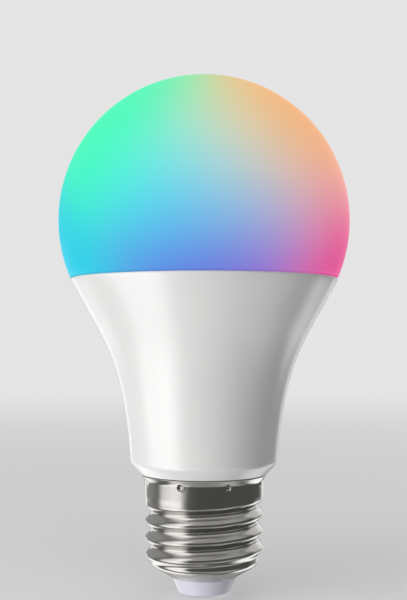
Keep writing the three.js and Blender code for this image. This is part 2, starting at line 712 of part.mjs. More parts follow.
// Chips on the back of the board: a moulded body with a row of flat leads down each side.
function chip(width, height, thickness, pins) {
  const body = box(width, thickness, height, 0, thickness / 2 + CHIP.standOff, 0);
  const legs = [];
  for (let i = 0; i < pins; i += 1) {
    const z = ((i + 0.5) / pins - 0.5) * height;
    legs.push(box(width + 2 * CHIP.leadReach, CHIP.leadThickness, CHIP.leadWidth, 0, 0.3, z));
  }
  return combine([body, ...legs]);
}

const onBack = (x, z) => [x, DRIVER_BACK + 0.02, z];
place('bridge_rectifier', chip(3.9, 4.7, 2.4, 2), MATERIALS.chipBlack, onBack(-5, 36));
place('driver_chip', chip(3.9, 4.9, 1.5, 4), MATERIALS.chipBlack, onBack(4, 38));
place('regulator_chip', chip(3.5, 4.5, 1.5, 3), MATERIALS.chipBlack, onBack(-6, 46));
place('colour_driver_chip', chip(3.9, 4.9, 1.5, 4), MATERIALS.chipBlack, onBack(6, 46));

// ---- Wireless module -------------------------------------------------------------------------
const MODULE = { width: 16, thickness: 0.8, bottomZ: 50.5, topZ: 76.5, headerZ: 53 };
const SHIELD = { width: 12, height: 10, depth: 2.0, z: 58 };
const ANTENNA = { track: 0.6, foil: 0.2, rise: 4.8, span: 12, turns: 5, z: 73.3 };
const HEADER = { pitch: 2.0, pin: 0.6, bar: 2.4 };
const SOCKET = { length: 10.4, width: 4.4, height: 3.2, wellLength: 8.6, wellWidth: 1.4 };
const MODULE_FRONT = MODULE_SLOT.y - MODULE.thickness / 2;
const MODULE_BACK = MODULE_SLOT.y + MODULE.thickness / 2;
const moduleHeight = MODULE.topZ - MODULE.bottomZ;
const moduleMiddle = (MODULE.topZ + MODULE.bottomZ) / 2;
const moduleBoard = box(MODULE.width, MODULE.thickness, moduleHeight, 0, MODULE_SLOT.y, moduleMiddle);
place('wifi_module_board', moduleBoard, MATERIALS.blueMask);

const canShape = roundedRectangle(SHIELD.width, SHIELD.height, 0.6);
const shieldCan = raised(canShape, SHIELD.depth, 0, 2).rotateX(-Math.PI / 2);
place('wifi_shield_can', shieldCan, MATERIALS.tinPlate, [0, MODULE_BACK + 0.02, SHIELD.z]);

// Meandering antenna track on the part of the board that stands above the LED board.
function antenna() {
  const { track, foil, rise, span, turns, z } = ANTENNA;
  const step = span / turns;
  const pieces = [];
  for (let i = 0; i <= turns; i += 1) {
    pieces.push(box(track, foil, rise, -span / 2 + i * step, 0, z));
  }
  for (let i = 0; i < turns; i += 1) {
    const level = z + ((i % 2 === 0 ? 1 : -1) * (rise - track)) / 2;
    pieces.push(box(step, foil, track, -span / 2 + (i + 0.5) * step, 0, level));
  }
  return combine(pieces);
}

place('wifi_antenna', antenna(), MATERIALS.gold, [0, MODULE_BACK + 0.12, 0]);

// A row of square pins through a moulded bar, along X and pointing along Z.
function pinHeader(pins, barHeight, above) {
  const { pitch, pin } = HEADER;
  const bar = box(pins * pitch, HEADER.bar, barHeight, 0, 0, barHeight / 2);
  const row = [];
  for (let i = 0; i < pins; i += 1) {
    const x = (i - (pins - 1) / 2) * pitch;
    row.push(box(pin, pin, barHeight + above, x, 0, (barHeight + above) / 2));
  }
  return combine([bar, ...row]);
}

// The module's header spans from the back of the driver board to the front of the module.
const headerSpan = MODULE_FRONT - DRIVER_BACK - 0.1;
const moduleHeader = pinHeader(5, headerSpan, 0).rotateX(-Math.PI / 2);
place('module_header', moduleHeader, MATERIALS.headerBlack, [0, DRIVER_BACK + 0.05, MODULE.headerZ]);

// The link header stands on the driver board's top edge and plugs into a socket on the LED board.
const linkBarZ = DRIVER.topZ + 0.1;
const linkAt = [LINK_SLOT.x, LINK_SLOT.y, linkBarZ];
place('led_link_header', pinHeader(4, 2.2, 6.4), MATERIALS.headerBlack, linkAt);
const socketBody = box(SOCKET.length, SOCKET.width, SOCKET.height, 0, 0, SOCKET.height / 2);
const socketWell = box(SOCKET.wellLength, SOCKET.wellWidth, SOCKET.height + 1, 0, 0, SOCKET.height / 2);
const socketAt = [LINK_SLOT.x, LINK_SLOT.y, BOARD_TOP];
place('led_link_socket', combine([socketBody], [socketWell]), MATERIALS.ledWhite, socketAt);

// ---- Mains leads -----------------------------------------------------------------------------
const liveRoute = [
  [0, 0, CONTACT.topZ + 0.5],
  [-0.6, 1.6, 8.9],
  [-2.6, 4.0, 9.8],
  [-4.4, LEAD_Y, 12.4],
  [-4.4, LEAD_Y, 17.5],
];
const neutralRoute = [
  [10.4, 0, 8.0],
  [8.4, 1.6, 8.3],
  [5.8, 4.0, 9.4],
  [4.4, LEAD_Y, 12.0],
  [4.4, LEAD_Y, 15.6],
];
place('live_lead', lead(liveRoute), MATERIALS.redLead);
place('neutral_lead', lead(neutralRoute), MATERIALS.blackLead);

export default bulb;
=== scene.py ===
"""Smart light bulb: fine surfaces, finishes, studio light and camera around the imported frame."""

import json
import math

import bpy
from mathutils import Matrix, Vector


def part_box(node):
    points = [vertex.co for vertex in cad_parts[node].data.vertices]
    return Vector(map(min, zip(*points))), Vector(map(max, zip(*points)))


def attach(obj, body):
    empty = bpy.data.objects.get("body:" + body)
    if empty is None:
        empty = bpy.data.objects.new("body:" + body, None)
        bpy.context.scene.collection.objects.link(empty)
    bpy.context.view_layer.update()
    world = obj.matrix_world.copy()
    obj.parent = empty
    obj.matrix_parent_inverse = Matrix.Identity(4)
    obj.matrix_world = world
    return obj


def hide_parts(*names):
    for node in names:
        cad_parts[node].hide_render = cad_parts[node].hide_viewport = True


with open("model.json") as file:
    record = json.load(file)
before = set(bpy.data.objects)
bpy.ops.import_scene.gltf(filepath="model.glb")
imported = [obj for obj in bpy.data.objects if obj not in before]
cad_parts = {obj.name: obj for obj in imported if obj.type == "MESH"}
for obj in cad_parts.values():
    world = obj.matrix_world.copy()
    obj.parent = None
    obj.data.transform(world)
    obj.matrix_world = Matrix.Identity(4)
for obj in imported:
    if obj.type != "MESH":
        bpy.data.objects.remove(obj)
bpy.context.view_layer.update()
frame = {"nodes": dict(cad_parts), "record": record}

MM = 0.001
BODY = "root"

# ---- Sizes taken from the frame, in millimetres ----------------------------------------------


def extent(node):
    """Largest radius about the axis, lowest height and highest height of a CAD node."""
    low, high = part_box(node)
    return high.x / MM, low.z / MM, high.z / MM


GLOBE_R, GLOBE_FOOT, CROWN = extent("diffuser_dome")
_, NECK_FOOT, SEAM_Z = extent("housing_shell")
LIP_R, CAP_FOOT, CAP_TOP = extent("screw_shell")
INSULATOR_FOOT = extent("cap_insulator")[1]
CONTACT_R, CONTACT_FOOT, SHANK_TOP = extent("centre_contact")
GLOBE_Z = CROWN - GLOBE_R

# ---- Sizes of the fine surfaces, in millimetres ----------------------------------------------

GLOBE_WALL = 1.2
SEAM_GAP = 0.16
FOOT_EASE = 0.12  # how far the globe's foot is eased back from the sphere
SPIGOT_OUTER, SPIGOT_INNER = 27.0, 25.9
SPIGOT_ROOT = 0.7, 1.5  # above the seam, where the spigot's bore ends and the globe's inside begins

WAIST_R, WAIST_Z = 16.3, 30.3
CONE_R, CONE_Z, CONE_SLOPE = 23.26, 57.6, 0.556
SHOULDER_R, SHOULDER_Z = 13.95, 26.45
FLARE_PULL = (1.16, 14.5), 6  # reach of the flare's handles: above the waist, and down the cone
CHAMFER_R, CHAMFER_Z, CHAMFER_BEND = 16.16, 28.90, 1.7
TOP_EDGE = 0.34  # rounding of the housing's edge at the seam
HOUSING_WALL = 1.7
LEDGE_R, LEDGE_Z = 27.3, 67.0
NECK_BORE, NECK_R, COLLAR_R, GROOVE_R = 9.8, 11.2, 12.6, 12.05
COLLAR_FOOT = 1.2, 0.2  # below and above the band's foot, where the neck widens to the collar
GROOVE_HALF = 0.8, 1.0  # half heights of the crimp groove at its bottom and at its mouth
CAVITY_R, CAVITY_RISE = 13.6, 1.75

BAND_R, ROOT_R, PITCH, SHEET = 13.12, 11.86, 3.629, 0.3
CREST_BACK = 0.1  # how far the thread's crest stays below the plain band
CREST_Z = 14.21  # height of one crest on the +X side
THREAD_START = -1.78, -1.39  # turns from that crest over which the thread rises from the root
THREAD_END = 1.5, 1.95  # turns over which its valley fills up to the band
BAND_FOOT, BAND_TOP = 22.1, 24.95
BAND_TURN = 1.7  # height over which the band turns in below
LIP_EASE = 0.15  # how gently the band turns out into the lip
CONE_EASE = 1.2  # how far from the thread the rounding of the cap's cone reaches
CONE_TOP = 5.8  # height up to which the cone is straight
OPENING_R, OPENING_Z, CONE_GAIN = 7.3, CAP_FOOT, 1.7
ROLL_WIDTH, ROLL_LIFT = 0.15, 0.02  # roll of the lip's edge
EDGE_BEND, EDGE_TOP = 0.12, 0.34  # rounding of the opening's edge, and height of its inner side
FINE_ROW, COARSE_ROW = 0.11, 0.42  # steps up the shell's outside and inside
CRIMPS, CRIMP_Z, CRIMP_R, CRIMP_DEPTH = 8, 24.7, 0.66, 0.42
RING_HEIGHT, RING_AT, RING_WIDTH = 0.035, 1.22, 0.18  # raised metal round a crimp, in crimp radii

INSULATOR_FOOT_R, INSULATOR_NECK_R, INSULATOR_NECK_Z, INSULATOR_TOP = 5.65, 7.1, 4.0, 6.4
INSULATOR_FLARE_Z, INSULATOR_FLARE = 4.5, 1.25  # where it starts to follow the cone, and how far
CONTACT_FACE_R, CONTACT_DOME, SHANK_R, HEAD_TOP = 2.0, 0.45, 1.2, 1.0
CONTACT_GAP, SEAT_GAP = 0.15, 0.1  # round the contact's head and shank, and above the head

ROUND = 192  # steps round the axis on plain turned pieces
THREAD_ROUND = 640  # steps round the axis on the screw shell
LONGEST_STEP = 2.0  # millimetres along the housing's outline
CREASE = 40  # degrees between faces beyond which an edge shades sharp


# ---- Mesh helpers ----------------------------------------------------------------------------


def corner(before, at, after, radius, steps=6):
    """An arc of that radius in place of the corner `at` of a path in the (radius, height) plane."""
    p, a, b = Vector(at), Vector(before) - Vector(at), Vector(after) - Vector(at)
    half = a.angle(b) / 2
    reach = min(radius / math.tan(half), a.length * 0.5, b.length * 0.5)
    radius = reach * math.tan(half)
    start, end = p + a.normalized() * reach, p + b.normalized() * reach
    centre = p + (a.normalized() + b.normalized()).normalized() * (radius / math.sin(half))
    first, last = start - centre, end - centre
    turn = first.angle_signed(last)
    points = []
    for i in range(steps + 1):
        angle = -turn * i / steps
        c, s = math.cos(angle), math.sin(angle)
        points.append((centre.x + first.x * c - first.y * s, centre.y + first.x * s + first.y * c))
    return points


def path(*stops):
    """A closed outline from lists of points and stops: radius, height and maybe corner radius."""
    flat = []
    for stop in stops:
        if isinstance(stop, list):
            flat.extend((r, z, 0) for r, z in stop)
        else:
            flat.append((*stop, 0)[:3])
    outline = []
    for i, (r, z, bend) in enumerate(flat):
        if bend:
            before, after = flat[i - 1][:2], flat[(i + 1) % len(flat)][:2]
            outline.extend(corner(before, (r, z), after, bend))
        else:
            outline.append((r, z))
    return outline


def arc(radius, height, size, start, end, steps):
    """Points on an arc about (radius, height), angles in degrees from level."""
    angles = [math.radians(start + (end - start) * i / steps) for i in range(steps + 1)]
    return [(radius + size * math.cos(a), height + size * math.sin(a)) for a in angles]


def bezier(p0, p1, p2, p3, steps):
    """Points on a cubic curve that leaves p0 towards p1 and reaches p3 from p2."""
    points = []
    for i in range(steps + 1):
        t = i / steps
        weights = ((1 - t) ** 3, 3 * t * (1 - t) ** 2, 3 * t * t * (1 - t), t**3)
        weighed = list(zip(weights, (p0, p1, p2, p3)))
        points.append(tuple(sum(w * p[k] for w, p in weighed) for k in (0, 1)))
    return points


def subdivide(points, longest):
    """The same closed outline with no step longer than `longest`."""
    result = []
    for i, a in enumerate(points):
        b = points[(i + 1) % len(points)]
        pieces = max(1, math.ceil(math.dist(a, b) / longest))
        result.extend((a[0] + (b[0] - a[0]) * k / pieces, a[1] + (b[1] - a[1]) * k / pieces)
                      for k in range(pieces))
    return result


def mesh_object(name, vertices, faces):
    """A smooth-shaded mesh from vertices in millimetres."""
    mesh = bpy.data.meshes.new(name)
    mesh.from_pydata([tuple(c * MM for c in v) for v in vertices], [], faces)
    mesh.validate()
    mesh.polygons.foreach_set("use_smooth", [True] * len(mesh.polygons))
    mesh.set_sharp_from_angle(angle=math.radians(CREASE))
    mesh.update()
    piece = bpy.data.objects.new(name, mesh)
    bpy.context.scene.collection.objects.link(piece)
    return piece


def turned(name, outline, around=ROUND):
    """A closed outline turned about Z."""
    vertices, rings = [], []
    for r, z in outline:
        if r < 1e-6:
            rings.append([len(vertices)] * around)
            vertices.append((0, 0, z))
            continue
        rings.append(list(range(len(vertices), len(vertices) + around)))
        for k in range(around):
            a = 2 * math.pi * k / around
            vertices.append((r * math.cos(a), r * math.sin(a), z))
    faces = []
    for i, ring in enumerate(rings):
        after = rings[(i + 1) % len(rings)]
        if ring[0] == ring[-1] and after[0] == after[-1]:
            continue
        for k in range(around):
            j = (k + 1) % around
            face = [ring[k], ring[j], after[j], after[k]]
            faces.append(list(dict.fromkeys(face)))
    return mesh_object(name, vertices, faces)


def finish_piece(piece, node, material):
    """Puts a fine surface in a CAD node's place, riding on the bulb's one body."""
    piece.data.materials.append(material)
    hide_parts(node)
    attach(piece, BODY)
    return piece


# ---- Material helpers ------------------------------------------------------------------------


class Nodes:
    """Short ways to build a node tree."""

    def __init__(self, tree):
        self.tree = tree

    def add(self, kind, inputs=None, **settings):
        node = self.tree.nodes.new(kind)
        for key, value in settings.items():
            setattr(node, key, value)
        for key, value in (inputs or {}).items():
            self.put(node.inputs[key], value)
        return node

    def put(self, socket, value):
        if isinstance(value, bpy.types.NodeSocket):
            self.tree.links.new(value, socket)
        elif socket.type == "RGBA" and len(value) == 3:
            socket.default_value = (*value, 1)
        else:
            socket.default_value = value

    def math(self, operation, a, b=0.0):
        return self.add("ShaderNodeMath", {0: a, 1: b}, operation=operation).outputs[0]

    def vector(self, operation, a, b=(0, 0, 0), output=0):
        node = self.add("ShaderNodeVectorMath", {0: a, 1: b}, operation=operation)
        return node.outputs[output]

    def scaled(self, vector, by):
        return self.vector("MULTIPLY", vector, by)

    def times(self, vector, number):
        values = {0: vector, "Scale": number}
        return self.add("ShaderNodeVectorMath", values, operation="SCALE").outputs[0]

    def noise(self, vector, scale, detail=3.0, roughness=0.5):
        values = {"Vector": vector, "Scale": scale, "Detail": detail, "Roughness": roughness}
        return self.add("ShaderNodeTexNoise", values).outputs["Fac"]

    def smooth(self, value, low, high, to_low=0.0, to_high=1.0):
        values = {"Value": value, "From Min": low, "From Max": high,
                  "To Min": to_low, "To Max": to_high}
        return self.add("ShaderNodeMapRange", values, interpolation_type="SMOOTHSTEP").outputs[0]

    def mix(self, factor, a, b):
        node = self.add("ShaderNodeMix", data_type="RGBA")
        self.put(node.inputs[0], factor)
        self.put(node.inputs[6], a)
        self.put(node.inputs[7], b)
        return node.outputs[2]

    def bump(self, height, strength, distance):
        values = {"Height": height, "Strength": strength, "Distance": distance}
        return self.add("ShaderNodeBump", values).outputs[0]

    def position(self):
        return self.add("ShaderNodeTexCoord").outputs["Object"]


def linear(red, green, blue):
    """A screen colour, 0 to 255, as linear light."""
    def one(value):
        value /= 255
        return value / 12.92 if value <= 0.04045 else ((value + 0.055) / 1.055) ** 2.4
    return one(red), one(green), one(blue)


def new_material(name, color, roughness, metallic=0.0):
    """A Principled material with its nodes helper and its shader."""
    material = bpy.data.materials.new(name)
    material.use_nodes = True
    nodes = Nodes(material.node_tree)
    shader = material.node_tree.nodes["Principled BSDF"]
    nodes.put(shader.inputs["Base Color"], color)
    nodes.put(shader.inputs["Roughness"], roughness)
    nodes.put(shader.inputs["Metallic"], metallic)
    return material, nodes, shader


# ---- Globe -----------------------------------------------------------------------------------

GLOW_SPREAD = 0.335  # width of each lobe's bell, in globe radii
GLOW_STRENGTH = 0.865
PAINTED_GLOW_SHARE = 0.12  # share of the glow's colour painted into the opal's base colour as painted light
RIM_SHADE = 0.4  # millimetres above the seam over which the globe's foot dims
RIM_SHADE_LEFT = 0.72  # share of the glow that is left right at the seam

# Centres of the bells of coloured light, which may lie inside or outside the globe's wall: place
# in globe radii from the globe's centre (+X right, -Y front, +Z up) and colour as linear light.
# The first eight rows and GLOW_SPREAD are the rounded result of a least-squares fit to the globe's
# colours, and were not chosen by hand. The last three rows, for the back, are not from that fit.
GLOW = {
    "green_upper_left": ((-0.40, -0.65, 0.51), (0.064, 0.989, 0.494)),
    "cyan_left": ((-0.65, -0.15, -0.45), (0.021, 0.629, 0.826)),
    "blue_low_front": ((0.10, -0.81, -0.31), (0.098, 0.0, 0.706)),
    "rose_middle": ((0.36, -0.45, 0.0), (0.914, 0.401, 0.531)),
    "pink_low_right": ((1.04, -0.55, -0.48), (0.827, 0.0, 0.251)),
    "amber_upper_right": ((0.61, -0.60, 0.63), (0.925, 0.439, 0.140)),
    "peach_high_front": ((0.30, -1.05, 0.53), (1.058, 0.690, 0.255)),
    "aqua_front": ((0.0, -0.92, 0.14), (0.0, 0.860, 1.100)),
    "teal_back": ((-0.55, 0.80, 0.25), (0.050, 0.750, 0.600)),
    "orange_back": ((0.60, 0.75, 0.10), (0.900, 0.300, 0.120)),
    "violet_back": ((0.0, 0.90, -0.35), (0.250, 0.200, 0.750)),
}


def glow_colour(nodes):
    """The light on the globe: each lobe's colour, weighed by a bell of its distance."""
    centre = (0, 0, GLOBE_Z * MM)
    place = nodes.vector("SUBTRACT", nodes.position(), centre)
    place = nodes.scaled(place, (1 / (GLOBE_R * MM),) * 3)
    total = weights = None
    for spot, colour in GLOW.values():
        distance = nodes.vector("DISTANCE", place, spot, output=1)
        squared = nodes.math("MULTIPLY", distance, distance)
        weight = nodes.math("EXPONENT", nodes.math("MULTIPLY", squared, -0.5 / GLOW_SPREAD**2))
        part = nodes.times(colour, weight)
        total = part if total is None else nodes.vector("ADD", total, part)
        weights = weight if weights is None else nodes.math("ADD", weights, weight)
    return nodes.times(total, nodes.math("DIVIDE", 1.0, weights))


def opal_material():
    material, nodes, shader = new_material("opal_globe", (0.5, 0.5, 0.5), 0.42)
    glow = glow_colour(nodes)
    grain = nodes.noise(nodes.position(), 5200, detail=2)
    # Painted light: the base colour is a share of the glow's colours, not the opal's own tint.
    nodes.put(shader.inputs["Base Color"], nodes.scaled(glow, (PAINTED_GLOW_SHARE,) * 3))
    height = nodes.add("ShaderNodeSeparateXYZ", {0: nodes.position()}).outputs[2]
    rim = nodes.smooth(height, SEAM_Z * MM, (SEAM_Z + RIM_SHADE) * MM, RIM_SHADE_LEFT, 1.0)
    rim = nodes.add("ShaderNodeCombineXYZ", {0: rim, 1: rim, 2: rim}).outputs[0]
    nodes.put(shader.inputs["Emission Color"], nodes.scaled(glow, rim))
    nodes.put(shader.inputs["Emission Strength"], GLOW_STRENGTH)
    nodes.put(shader.inputs["Specular IOR Level"], 0.1)
    nodes.put(shader.inputs["Normal"], nodes.bump(grain, 0.05, 0.00002))
    nodes.put(shader.inputs["Roughness"], nodes.smooth(grain, 0.2, 0.8, 0.40, 0.5))
    return material


def globe():
    """A thin sphere cut off just above the seam, with the spigot that drops into the housing."""
    inner = GLOBE_R - GLOBE_WALL
    foot = SEAM_Z + SEAM_GAP
    foot_r = math.sqrt(GLOBE_R**2 - (foot - GLOBE_Z) ** 2) - FOOT_EASE
    low = math.degrees(math.asin((foot + FOOT_EASE - GLOBE_Z) / GLOBE_R))
    inside_low = math.degrees(math.asin((SEAM_Z + SPIGOT_ROOT[1] - GLOBE_Z) / inner))
    outline = path(
        arc(0, GLOBE_Z, GLOBE_R, low, 90, 72)[:-1],
        (0, CROWN),
        (0, GLOBE_Z + inner),
        arc(0, GLOBE_Z, inner, 90, inside_low, 48)[1:],
        (SPIGOT_INNER, SEAM_Z + SPIGOT_ROOT[0], 0.4),
        (SPIGOT_INNER, GLOBE_FOOT, 0.15),
        (SPIGOT_OUTER, GLOBE_FOOT, 0.25),
        (SPIGOT_OUTER, foot, 0.1),
        (foot_r, foot, 0.05),
    )
    return finish_piece(turned("globe", outline), "diffuser_dome", opal_material())


globe()


# ---- Housing ---------------------------------------------------------------------------------


def cone(z):
    """Outer radius of the housing's straight upper part."""
    return CONE_R + CONE_SLOPE * (z - CONE_Z)


def flare(inset, steps):
    """The curve from the waist up to the cone, moved inward by `inset`."""
    (out, up), down = FLARE_PULL
    points = bezier(
        (WAIST_R, WAIST_Z),
        (WAIST_R + out, WAIST_Z + up),
        (CONE_R - down * CONE_SLOPE, CONE_Z - down),
        (CONE_R, CONE_Z),
        steps,
    )
    return [(r - inset, z) for r, z in points]


def housing_material():
    material, nodes, shader = new_material("white_housing", (0.8, 0.8, 0.8), 0.26)
    place = nodes.position()
    mottle = nodes.noise(place, 140, detail=4)
    grain = nodes.noise(place, 4200, detail=3, roughness=0.6)
    tone = nodes.mix(mottle, (0.785, 0.78, 0.775), (0.825, 0.82, 0.81))
    nodes.put(shader.inputs["Base Color"], tone)
    nodes.put(shader.inputs["Roughness"], nodes.smooth(grain, 0.2, 0.8, 0.21, 0.25))
    nodes.put(shader.inputs["Normal"], nodes.bump(nodes.noise(place, 500, detail=2), 0.05, 0.00002))
    nodes.put(shader.inputs["Specular IOR Level"], 1.0)
    nodes.put(shader.inputs["IOR"], 1.6)
    nodes.put(shader.inputs["Sheen Weight"], 0.5)
    nodes.put(shader.inputs["Sheen Roughness"], 0.25)
    return material


def housing():
    """From the neck inside the cap, up the outside to the seam, and back down the inside."""
    cavity = SHOULDER_Z + CAVITY_RISE
    inner_ledge = cone(LEDGE_Z) - HOUSING_WALL
    bottom, mouth = GROOVE_HALF
    below, above = COLLAR_FOOT
    outline = path(
        (NECK_BORE, NECK_FOOT, 0.2),
        (NECK_R, NECK_FOOT, 0.3),
        (NECK_R, BAND_FOOT - below, 0.5),
        (COLLAR_R, BAND_FOOT + above, 0.3),
        (COLLAR_R, CRIMP_Z - mouth, 0.1),
        (GROOVE_R, CRIMP_Z - bottom, 0.1),
        (GROOVE_R, CRIMP_Z + bottom, 0.1),
        (COLLAR_R, CRIMP_Z + mouth, 0.1),
        (COLLAR_R, SHOULDER_Z, 0.1),
        (SHOULDER_R, SHOULDER_Z, 0.16),
        (CHAMFER_R, CHAMFER_Z, CHAMFER_BEND),
        flare(0, 64),
        (cone(SEAM_Z), SEAM_Z, TOP_EDGE),
        (LEDGE_R, SEAM_Z, 0.1),
        (LEDGE_R, LEDGE_Z),
        (inner_ledge, LEDGE_Z, 0.1),
        flare(HOUSING_WALL, 40)[::-1],
        (CAVITY_R, cavity, 1.2),
        (NECK_BORE, cavity, 0.4),
    )
    piece = turned("housing", subdivide(outline, LONGEST_STEP))
    return finish_piece(piece, "housing_shell", housing_material())


housing()


# ---- Screw cap -------------------------------------------------------------------------------


def smoothstep(value, low, high):
    """An eased step from 0 at `low` to 1 at `high`."""
    t = min(max((value - low) / (high - low), 0), 1)
    return t * t * (3 - 2 * t)


def thread_height(angle, z):
    """Right-hand thread, 0 at root and 1 at crest, that fades in below and runs out above."""
    turn = angle / (2 * math.pi)
    along = (z - CREST_Z) / PITCH
    crest = turn + round(along - turn)
    valley = turn + math.floor(along - turn) + 0.5
    wave = 0.5 + 0.5 * math.cos(2 * math.pi * (along - turn))
    shown = smoothstep(crest, *THREAD_START)
    filled = smoothstep(valley, *THREAD_END)
    return wave * shown * (1 - filled) + filled


CRIMP_ANGLES = [(i + 0.5) * 2 * math.pi / CRIMPS for i in range(CRIMPS)]


def crimp_depth(angle, z):
    """How far the nearest crimp presses the band in, with a low raised ring round each pit."""
    if abs(z - CRIMP_Z) > 3 * CRIMP_R:
        return 0
    aside = min(abs(math.remainder(angle - a, 2 * math.pi)) for a in CRIMP_ANGLES) * BAND_R
    distance = math.hypot(aside, z - CRIMP_Z) / CRIMP_R
    pit = CRIMP_DEPTH * math.sqrt(max(0, 1 - distance**2)) if distance < 1 else 0
    ring = RING_HEIGHT * math.exp(-(((distance - RING_AT) / RING_WIDTH) ** 2))
    return pit - ring


def shell_radius(angle, z):
    """Radius of the shell's outside: cone, thread, plain band and lip, each eased into the next."""
    thread = ROOT_R + (BAND_R - CREST_BACK - ROOT_R) * thread_height(angle, z)
    cone_r = OPENING_R + CONE_GAIN * (z - OPENING_Z)
    share = min(max(0.5 + 0.5 * (thread - cone_r) / CONE_EASE, 0), 1)
    thread = thread * (1 - share) + cone_r * share - CONE_EASE * share * (1 - share)
    into_band = smoothstep(z, BAND_FOOT - BAND_TURN, BAND_FOOT)
    above = max(0, z - BAND_TOP)
    flared = (LIP_R - BAND_R) * (above - LIP_EASE * (1 - math.exp(-above / LIP_EASE)))
    return thread + (BAND_R - thread) * into_band + flared - crimp_depth(angle, z)


def nickel_material():
    material, nodes, shader = new_material("nickel_cap", (0.6, 0.58, 0.55), 0.16, metallic=1.0)
    place = nodes.position()
    rolled = nodes.noise(nodes.scaled(place, (60, 60, 9000)), 1, detail=4, roughness=0.6)
    cloud = nodes.noise(place, 260, detail=4)
    tone = nodes.mix(cloud, (0.60, 0.585, 0.56), (0.66, 0.645, 0.62))
    nodes.put(shader.inputs["Base Color"], tone)
    nodes.put(shader.inputs["Roughness"], nodes.smooth(cloud, 0.3, 0.7, 0.17, 0.23))
    nodes.put(shader.inputs["Normal"], nodes.bump(rolled, 0.06, 0.00002))
    return material


def screw_shell():
    """Rings up the outside from the bottom opening, over the lip and down the inside."""
    lip_foot = CAP_TOP - ROLL_WIDTH
    rows = math.ceil((lip_foot - CONE_TOP) / FINE_ROW)
    outside = [CONE_TOP + (lip_foot - CONE_TOP) * i / rows for i in range(rows + 1)]
    rows = math.ceil((lip_foot - CONE_TOP) / COARSE_ROW)
    inside = [lip_foot - (lip_foot - CONE_TOP) * i / rows for i in range(rows)]
    roll_z, roll_r = lip_foot + ROLL_LIFT, ROLL_WIDTH - ROLL_LIFT
    roll = arc(LIP_R - ROLL_WIDTH, roll_z, roll_r, -20, 150, 7)[1:]
    edge = [
        (OPENING_R, OPENING_Z + EDGE_BEND),
        (OPENING_R + EDGE_BEND / 4, OPENING_Z + EDGE_BEND / 4),
        (OPENING_R + EDGE_BEND, OPENING_Z),
    ]
    rings = [(lambda a, r=r: r, z) for r, z in edge]
    rings += [(lambda a, z=z: shell_radius(a, z), z) for z in outside]
    rings += [(lambda a, r=r: r, z) for r, z in roll]
    rings += [(lambda a, z=z: shell_radius(a, z) - SHEET, z) for z in inside]
    rings += [(lambda a: OPENING_R, OPENING_Z + EDGE_TOP)]
    vertices, faces = [], []
    for radius, z in rings:
        for k in range(THREAD_ROUND):
            a = 2 * math.pi * k / THREAD_ROUND
            vertices.append((radius(a) * math.cos(a), radius(a) * math.sin(a), z))
    for i in range(len(rings)):
        here, there = i * THREAD_ROUND, (i + 1) % len(rings) * THREAD_ROUND
        for k in range(THREAD_ROUND):
            j = (k + 1) % THREAD_ROUND
            faces.append((here + k, here + j, there + j, there + k))
    piece = mesh_object("cap_shell", vertices, faces)
    return finish_piece(piece, "screw_shell", nickel_material())


screw_shell()


def insulator_material():
    material, nodes, shader = new_material("cap_insulator", linear(212, 212, 225), 0.35)
    mottle = nodes.noise(nodes.position(), 900, detail=4)
    tone = nodes.mix(mottle, linear(207, 207, 221), linear(216, 215, 227))
    nodes.put(shader.inputs["Base Color"], tone)
    nodes.put(shader.inputs["Roughness"], nodes.smooth(mottle, 0.3, 0.7, 0.30, 0.42))
    nodes.put(shader.inputs["Normal"], nodes.bump(mottle, 0.05, 0.00005))
    return material


def insulator():
    """A taper under the cap that holds the contact's head and follows the cone inside the cap."""
    bore, recess = SHANK_R + CONTACT_GAP, CONTACT_R + CONTACT_GAP
    seat = HEAD_TOP + SEAT_GAP
    top_r = INSULATOR_NECK_R + CONE_GAIN * INSULATOR_FLARE
    outline = path(
        (bore, seat, 0.1),
        (recess, seat, 0.1),
        (recess, INSULATOR_FOOT, 0.12),
        (INSULATOR_FOOT_R, INSULATOR_FOOT, 0.5),
        (INSULATOR_NECK_R, INSULATOR_NECK_Z, 0.2),
        (INSULATOR_NECK_R, INSULATOR_FLARE_Z, 0.1),
        (top_r, INSULATOR_FLARE_Z + INSULATOR_FLARE, 0.1),
        (top_r, INSULATOR_TOP, 0.1),
        (bore, INSULATOR_TOP, 0.1),
    )
    piece = turned("insulator", outline)
    return finish_piece(piece, "cap_insulator", insulator_material())


insulator()


def contact_material():
    material, nodes, shader = new_material("contact_metal", (0.7, 0.66, 0.56), 0.3, metallic=1.0)
    place = nodes.position()
    wear = nodes.noise(place, 1500, detail=5, roughness=0.65)
    nodes.put(shader.inputs["Base Color"], nodes.mix(wear, (0.60, 0.52, 0.36), (0.78, 0.75, 0.68)))
    nodes.put(shader.inputs["Roughness"], nodes.smooth(wear, 0.3, 0.7, 0.2, 0.42))
    nodes.put(shader.inputs["Normal"], nodes.bump(wear, 0.15, 0.00004))
    return material


def contact():
    """A domed head in the insulator's recess, on the shank that goes up into the cap."""
    outline = path(
        (0, CONTACT_FOOT),
        (CONTACT_FACE_R, CONTACT_FOOT, 0.5),
        (CONTACT_R, CONTACT_DOME, 0.5),
        (CONTACT_R, HEAD_TOP, 0.1),
        (SHANK_R, HEAD_TOP, 0.1),
        (SHANK_R, SHANK_TOP, 0.2),
        (0, SHANK_TOP),
    )
    piece = turned("contact_button", outline, around=96)
    return finish_piece(piece, "centre_contact", contact_material())


contact()


# ---- Carried pieces --------------------------------------------------------------------------

